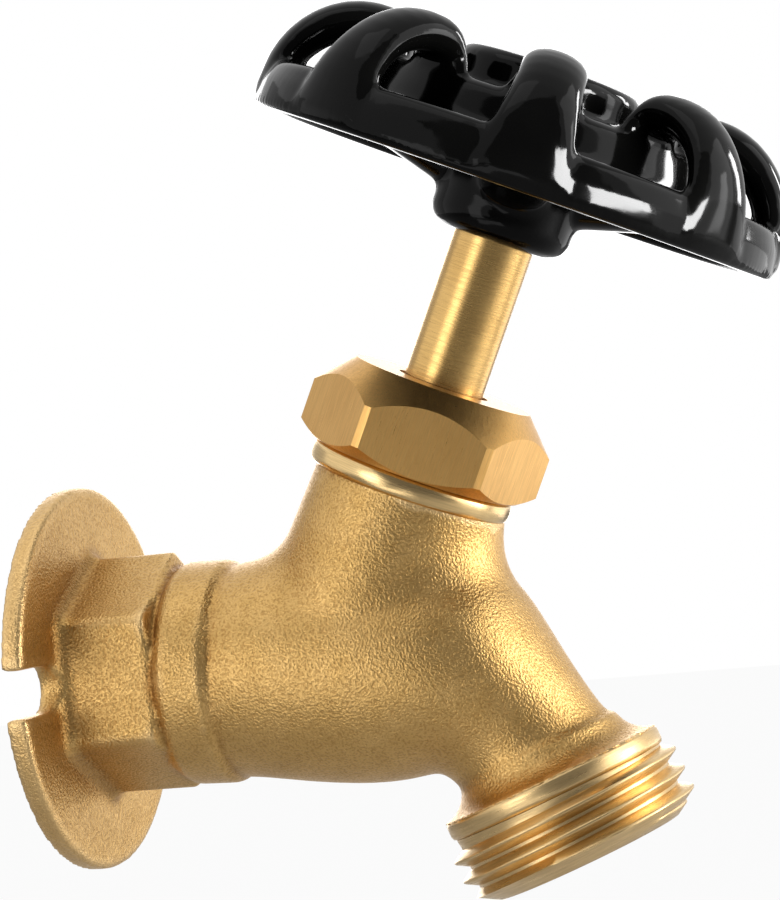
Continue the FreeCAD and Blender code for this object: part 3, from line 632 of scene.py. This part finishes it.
def castBrassMaterial():
    material, tree, shader = newMaterial("castBrass")
    sizes = {
        "Grain Scale": castFinish["grainScale"],
        "Depth": castFinish["grainDepth"],
        "Mottle Scale": castFinish["mottleScale"],
    }
    skin = useGroup(tree, sandGrain, sizes)
    tone = ramp(tree, skin["Mottle"], ((0.25, castFinish["middle"]), (0.75, castFinish["light"])))
    # painted shade darkens the grain's low spots
    pitShadeTint = ramp(tree, skin["Grain"], ((0.36, castFinish["pitShadeColor"]), (0.54, white)))
    pitShadedTone = multiply(tree, castFinish["pitShadeShare"], tone, pitShadeTint)
    bend = addNode(tree, "ShaderNodeAttribute", {}, attribute_name="bend").outputs["Fac"]
    # painted shade darkens the creases, read from the bend attribute
    creaseShaded = ramp(tree, bend, ((0.26, castFinish["creaseShade"]), (0.46, castFinish["faintCreaseShade"]), (0.56, white)))
    creaseShadedGrain = multiply(tree, 1.0, pitShadedTone, creaseShaded)
    # painted highlight along proud edges, read from the bend attribute
    edge = ramp(tree, bend, ((0.58, 0.0), (0.85, 0.7)))
    mixed = {"Factor": edge, "A": creaseShadedGrain, "B": (*castFinish["edge"], 1)}
    edgeHighlighted = addNode(tree, "ShaderNodeMix", mixed, data_type="RGBA")
    low, high = castFinish["roughness"]
    inputs = {
        "Base Color": edgeHighlighted.outputs["Result"],
        "Roughness": ramp(tree, skin["Grain"], ((0.35, low), (0.65, high))),
        "Normal": skin["Normal"],
        "Metallic": 1.0,
    }
    fill(tree, shader, inputs)
    return material


turnedFinishes = {  # the smaller a stretch, the longer the marks run that way
    "nutBrass": {
        "color": (0.80, 0.47, 0.155),
        "rough": 0.33,
        "stretch": (5200.0, 5200.0, 260.0),
        "tilt": -axes["stemTilt"],
        "depth": 0.00001,
    },
    "stemBrass": {
        "color": (0.74, 0.47, 0.17),
        "rough": 0.25,
        "stretch": (300.0, 300.0, 7000.0),
        "tilt": -axes["stemTilt"],
        "depth": 0.000012,
    },
    "collarBrass": {
        "color": (0.80, 0.57, 0.27),
        "rough": 0.20,
        "stretch": (200.0, 200.0, 5000.0),
        "tilt": -axes["stemTilt"],
        "depth": 0.00002,
    },
    "outletBrass": {
        "color": (0.76, 0.54, 0.26),
        "rough": 0.30,
        "stretch": (250.0, 250.0, 5000.0),
        "tilt": -90 - axes["outletDrop"],
        "depth": 0.00002,
    },
}


def turnedBrassMaterial(name, color, rough, stretch, tilt, depth):
    material, tree, shader = newMaterial(name)
    lean = (0.0, math.radians(tilt), 0.0)
    marks = useGroup(tree, toolMarks, {"Tilt": lean, "Stretch": stretch, "Depth": depth})
    tone = ramp(tree, marks["Streak"], ((0.3, shade(color, 0.8)), (0.7, shade(color, 1.1))))
    stain = ramp(tree, marks["Stain"], ((0.3, (0.9, 0.86, 0.8)), (0.6, white)))
    inputs = {
        "Base Color": multiply(tree, 0.6, tone, stain),
        "Roughness": ramp(tree, marks["Streak"], ((0.3, rough * 1.3), (0.7, rough * 0.8))),
        "Normal": marks["Normal"],
        "Metallic": 1.0,
    }
    fill(tree, shader, inputs)
    return material


coatFinish = {
    "dark": (0.0006, 0.0006, 0.0006),
    "light": (0.0014, 0.0014, 0.0013),
    "roughness": (0.07, 0.12),
    "specular": 0.11,
    "waveScale": 110.0,
    "waveStrength": 0.15,
    "waveDepth": 0.0004,
}


def blackCoatMaterial():
    material, tree, shader = newMaterial("blackCoat")
    coords = tree.nodes.new("ShaderNodeTexCoord").outputs["Object"]
    wave = noiseValue(tree, coords, coatFinish["waveScale"], detail=2.0)
    low, high = coatFinish["roughness"]
    strength, depth = coatFinish["waveStrength"], coatFinish["waveDepth"]
    bump = addNode(tree, "ShaderNodeBump", {"Strength": strength, "Distance": depth, "Height": wave})
    inputs = {
        "Base Color": ramp(tree, wave, ((0.3, coatFinish["dark"]), (0.7, coatFinish["light"]))),
        "Roughness": ramp(tree, wave, ((0.3, low), (0.7, high))),
        "Normal": bump.outputs["Normal"],
        "Specular IOR Level": coatFinish["specular"],
    }
    fill(tree, shader, inputs)
    return material


plainFinishes = {
    "blackRubber": {"color": (0.02, 0.02, 0.02), "rough": 0.7, "metallic": 0.0},
    "graphitePacking": {"color": (0.05, 0.05, 0.055), "rough": 0.55, "metallic": 0.0},
    "zincSteel": {"color": (0.55, 0.56, 0.58), "rough": 0.3, "metallic": 1.0},
}


def plainMaterial(name, color, rough, metallic):
    material, tree, shader = newMaterial(name)
    coords = tree.nodes.new("ShaderNodeTexCoord").outputs["Object"]
    grain = noiseValue(tree, coords, scale=600.0, detail=3.0)
    bump = addNode(tree, "ShaderNodeBump", {"Strength": 0.2, "Distance": 0.00005, "Height": grain})
    inputs = {
        "Base Color": ramp(tree, grain, ((0.3, shade(color, 0.8)), (0.7, shade(color, 1.15)))),
        "Roughness": ramp(tree, grain, ((0.3, rough * 1.2), (0.7, rough * 0.85))),
        "Normal": bump.outputs["Normal"],
        "Metallic": metallic,
    }
    fill(tree, shader, inputs)
    return material


finishes = {"castBrass": castBrassMaterial()}
for name, values in turnedFinishes.items():
    finishes[name] = turnedBrassMaterial(name, **values)
finishes["blackCoat"] = blackCoatMaterial()
for name, values in plainFinishes.items():
    finishes[name] = plainMaterial(name, **values)
print("stage: materials", len(finishes))

for piece, body, node, finish, slot in (
    (castBody, "valve", "valve_body", "castBrass", "cast_brass"),
    (collarBead, "valve", "valve_body", "collarBrass", "turned_brass"),
    (outletThread, "valve", "valve_body", "outletBrass", "turned_brass"),
    (inletThread, "valve", "valve_body", "outletBrass", "turned_brass"),
    (castWheel, "spindle", "handwheel", "blackCoat", "wheel_coating"),
):
    piece.data.materials.clear()
    piece.data.materials.append(finishes[finish])
    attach(piece, body)
    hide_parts(node)

for node, finish in (
    ("stem", "stemBrass"),
    ("packing_nut", "nutBrass"),
    ("packing_washer", "collarBrass"),
    ("washer_screw", "collarBrass"),
    ("seat_washer", "blackRubber"),
    ("stem_packing", "graphitePacking"),
    ("handle_screw", "zincSteel"),
):
    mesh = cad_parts[node].data
    mesh.materials.clear()
    mesh.materials.append(finishes[finish])
print("stage: pieces dressed and riding on their bodies")


def outwards(azimuth, elevation):  # azimuth from the front, positive to the right, as the camera sees it
    across, up = math.radians(azimuth), math.radians(elevation)
    return Vector((math.sin(across) * math.cos(up), -math.cos(across) * math.cos(up), math.sin(up)))


view = {  # the photograph's camera, found by fitting circles and lines of the tap to it
    "azimuth": 16.01,
    "elevation": -1.36,
    "roll": -5.73,
    "distance": 271.83,
    "target": (38.9, 0, 22.13),
    "lens": 98.88,
    "sensor": 36,
}


def buildCamera():
    azimuth, roll = math.radians(view["azimuth"]), math.radians(view["roll"])
    back = outwards(view["azimuth"], view["elevation"])
    right = Vector((math.cos(azimuth), math.sin(azimuth), 0))
    up = back.cross(right)
    right, up = right * math.cos(roll) + up * math.sin(roll), up * math.cos(roll) - right * math.sin(roll)
    data = bpy.data.cameras.new("camera")
    data.lens = view["lens"]
    data.sensor_width = view["sensor"]
    data.clip_start = 0.01
    data.clip_end = 10
    camera = bpy.data.objects.new("camera", data)
    spot = (Vector(view["target"]) + back * view["distance"]) * mm
    camera.matrix_world = Matrix.Translation(spot) @ Matrix((right, up, back)).transposed().to_4x4()
    bpy.context.scene.collection.objects.link(camera)
    bpy.context.scene.camera = camera


studio = {
    "aim": (0.04, 0, 0.02),  # what lamps and cards face
    "floorLevel": -0.20,
    "floorReach": 2.5,
    "floorColor": (0.82, 0.82, 0.82),
    "floorRoughness": 0.8,
    "floorGlow": 0.95,  # how much of the floor the camera sees as plain white: the rest takes the shadow
    "surround": (0.16, 0.16, 0.165),
    # cards and softboxes are name, azimuth, elevation, distance, size, brightness
    "cards": (
        ("frontFlag", 25, 13, 1.8, (2.6, 3.2), 0.15),
        ("leftFlag", -116, 12, 1.6, (0.9, 1.0), 0.5),
    ),
    "softboxes": (
        ("topSoftbox", -15, 72, 0.75, (0.45, 0.35), 0.8),
        ("leftSoftbox", -30, 0, 1.0, (0.40, 0.60), 2.0),
        ("rightSoftbox", 94, 8, 0.60, (0.46, 0.80), 2.1),
        ("rightStrip", 99, 0, 0.60, (0.12, 0.34), 7.0),
        ("lowRearSoftbox", 142, -12, 0.55, (0.34, 0.18), 1.6),
        ("lowFrontSoftbox", -14, -26, 0.42, (0.34, 0.12), 1.4),
        ("rearSoftbox", -160, 5, 0.8, (0.50, 0.50), 2.5),
    ),
    "wheelSoftboxes": (  # these light the wheel alone
        ("wheelGloss", 60, -3, 0.60, (0.28, 0.13), 90.0),
        ("wheelEdge", 128, 12, 0.60, (0.10, 0.26), 30.0),
    ),
}


def backdropShare(tree, kinds):  # 1 for camera rays and the other kinds that should see plain white
    path = tree.nodes.new("ShaderNodeLightPath")
    total = path.outputs["Is Camera Ray"]
    for kind in kinds:
        inputs = {0: total, 1: path.outputs[kind]}
        total = addNode(tree, "ShaderNodeMath", inputs, operation="ADD", use_clamp=True).outputs[0]
    return total


def mixShaders(tree, share, first, second, output):  # the second shader shows where the share is 1
    mix = addNode(tree, "ShaderNodeMixShader", {"Fac": share, 1: first, 2: second})
    tree.links.new(mix.outputs["Shader"], tree.nodes[output].inputs["Surface"])


def buildFloor():
    bm = bmesh.new()
    bmesh.ops.create_grid(bm, x_segments=1, y_segments=1, size=studio["floorReach"])
    floor = meshObject("floor", bm, Matrix.Translation((studio["aim"][0], 0, studio["floorLevel"])), False)
    material, tree, shader = newMaterial("paleFloor")
    fill(tree, shader, {"Base Color": (*studio["floorColor"], 1), "Roughness": studio["floorRoughness"]})
    glow = addNode(tree, "ShaderNodeEmission", {"Color": (*white, 1)}).outputs["Emission"]
    inputs = {0: backdropShare(tree, ("Is Transmission Ray",)), 1: studio["floorGlow"]}
    share = addNode(tree, "ShaderNodeMath", inputs, operation="MULTIPLY").outputs[0]
    mixShaders(tree, share, shader.outputs["BSDF"], glow, "Material Output")
    floor.data.materials.append(material)


def buildWorld():
    world = bpy.data.worlds.new("studio")
    world.use_nodes = True
    tree = world.node_tree
    surround = tree.nodes["Background"]
    fill(tree, surround, {"Color": (*studio["surround"], 1)})
    backdrop = addNode(tree, "ShaderNodeBackground", {"Color": (*white, 1)}).outputs["Background"]
    share = backdropShare(tree, ("Is Glossy Ray", "Is Transmission Ray"))
    mixShaders(tree, share, surround.outputs["Background"], backdrop, "World Output")
    bpy.context.scene.world = world
    bpy.context.scene.view_settings.view_transform = "Standard"


def standOff(azimuth, elevation, distance):
    return outwards(azimuth, elevation) * distance + Vector(studio["aim"])


def darkFlag(name, azimuth, elevation, distance, size, brightness):  # a grey card, clear to the camera
    bm = bmesh.new()
    bmesh.ops.create_grid(bm, x_segments=1, y_segments=1, size=0.5)
    bmesh.ops.scale(bm, vec=(*size, 1), verts=bm.verts)
    spot = standOff(azimuth, elevation, distance)
    turn = (Vector(studio["aim"]) - spot).to_track_quat("Z", "Y").to_matrix().to_4x4()
    card = meshObject(name, bm, Matrix.Translation(spot) @ turn, False)
    material, tree, shader = newMaterial(name)
    inputs = {
        "Base Color": (0, 0, 0, 1),
        "Emission Color": (*white, 1),
        "Emission Strength": brightness,
    }
    fill(tree, shader, inputs)
    clear = tree.nodes.new("ShaderNodeBsdfTransparent").outputs["BSDF"]
    mixShaders(tree, backdropShare(tree, ()), shader.outputs["BSDF"], clear, "Material Output")
    card.data.materials.append(material)


def softbox(name, azimuth, elevation, distance, size, brightness, only=None):
    data = bpy.data.lights.new(name, "AREA")
    data.shape = "RECTANGLE"
    data.size, data.size_y = size
    data.energy = brightness * math.pi * size[0] * size[1]
    light = bpy.data.objects.new(name, data)
    light.location = standOff(azimuth, elevation, distance)
    light.rotation_euler = (Vector(studio["aim"]) - light.location).to_track_quat("-Z", "Y").to_euler()
    light.visible_camera = False
    bpy.context.scene.collection.objects.link(light)
    if only:
        chosen = bpy.data.collections.new(name)
        chosen.objects.link(only)
        light.light_linking.receiver_collection = chosen


buildCamera()
buildFloor()
buildWorld()
for row in studio["cards"]:
    darkFlag(*row)
for row in studio["softboxes"]:
    softbox(*row)
for row in studio["wheelSoftboxes"]:
    softbox(*row, only=castWheel)
print("stage: camera and lights")
